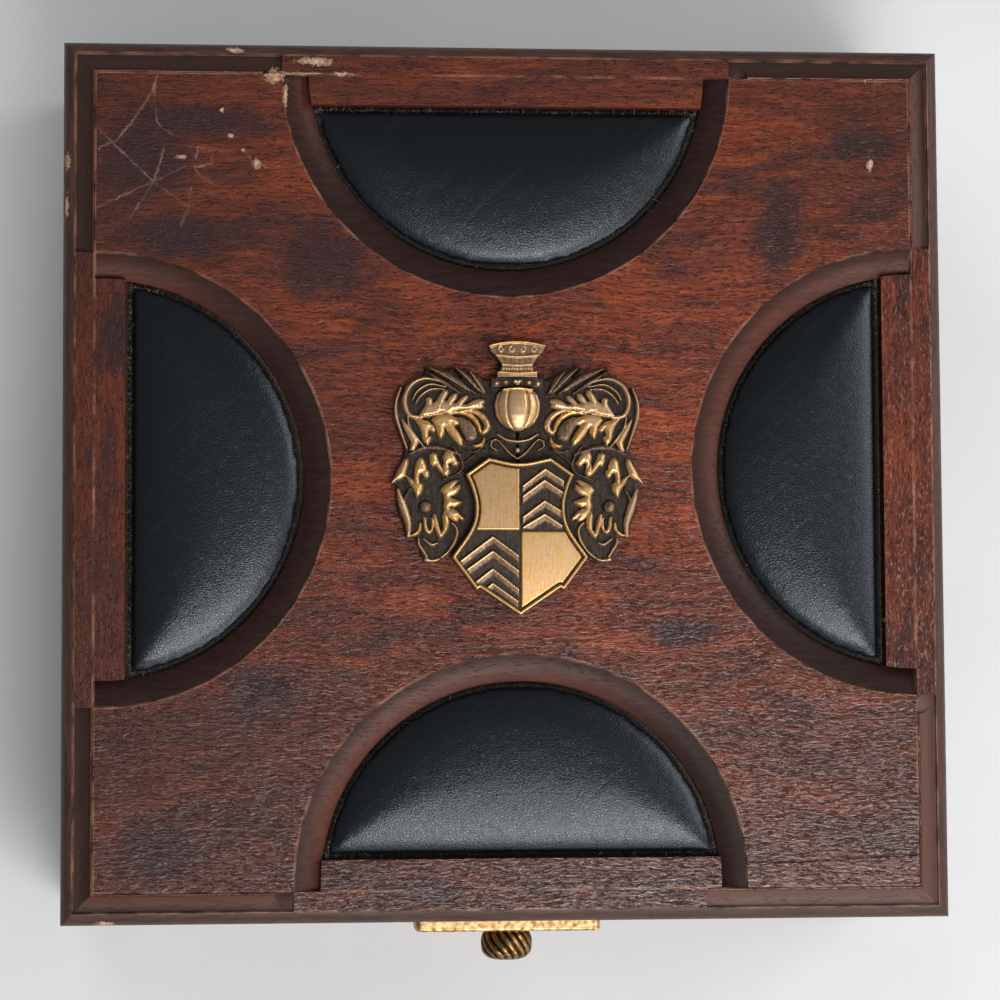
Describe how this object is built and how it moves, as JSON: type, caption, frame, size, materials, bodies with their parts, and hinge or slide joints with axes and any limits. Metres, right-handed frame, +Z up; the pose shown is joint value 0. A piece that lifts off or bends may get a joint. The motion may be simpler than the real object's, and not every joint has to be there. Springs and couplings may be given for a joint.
{
  "type": "valet box",
  "caption": "Square wooden valet box with a hinged lid, half-moon leather pads set in a scalloped panel, a cast heraldic mount and a gadrooned knob.",
  "frame": {"origin": "middle of the underside of the felt, on the centre lines of the box without its knob", "axes": "+X to the right, +Y to the hinged back, +Z up; the knob faces -Y"},
  "size_m": [0.254, 0.2637, 0.0958],
  "materials": {
    "stained_mahogany": "red-brown stained, open-pored, satin lacquer",
    "hardboard": "brown hardboard",
    "black_board": "hardboard dyed black",
    "velvet_lining": "black flock on card",
    "base_felt": "black felt",
    "black_leather": "black pebble-grained leather",
    "antique_gold": "cast, gilt, darkened in the recesses",
    "gilt_plate": "cast, mottled gilt",
    "aged_brass": "aged, dark brass",
    "hinge_brass": "satin brass",
    "zinc_steel": "zinc plated steel"
  },
  "bodies": {
    "base": {"front_wall": "stained_mahogany", "back_wall": "stained_mahogany", "left_wall": "stained_mahogany", "right_wall": "stained_mahogany", "base_board": "hardboard", "base_felt": "base_felt", "floor_lining": "velvet_lining", "front_lining": "velvet_lining", "back_lining": "velvet_lining", "left_lining": "velvet_lining", "right_lining": "velvet_lining", "long_divider": "velvet_lining", "back_left_divider": "velvet_lining", "back_right_divider": "velvet_lining", "front_divider": "velvet_lining", "hinge_left_base_leaf": "hinge_brass", "hinge_right_base_leaf": "hinge_brass", "hinge_left_pin": "hinge_brass", "hinge_right_pin": "hinge_brass", "base_hinge_screws": "hinge_brass"},
    "lid": {"lid_front_rail": "stained_mahogany", "lid_back_rail": "stained_mahogany", "lid_left_rail": "stained_mahogany", "lid_right_rail": "stained_mahogany", "lid_panel": "stained_mahogany", "lid_backing_board": "hardboard", "lid_lining": "velvet_lining", "pad_front": "black_leather", "pad_back": "black_leather", "pad_left": "black_leather", "pad_right": "black_leather", "pad_front_board": "black_board", "pad_back_board": "black_board", "pad_left_board": "black_board", "pad_right_board": "black_board", "heraldic_mount": "antique_gold", "pull_backplate": "gilt_plate", "pull_knob": "aged_brass", "pull_screw": "zinc_steel", "hinge_left_lid_leaf": "hinge_brass", "hinge_right_lid_leaf": "hinge_brass", "lid_hinge_screws": "hinge_brass"}
  },
  "joints": [
    {"name": "lid_hinge", "type": "hinge", "parent": "base", "child": "lid", "pos_m": [0, 0.1235, 0.063], "axis": [-1, 0, 0], "range_deg": [0, 95]}
  ]
}
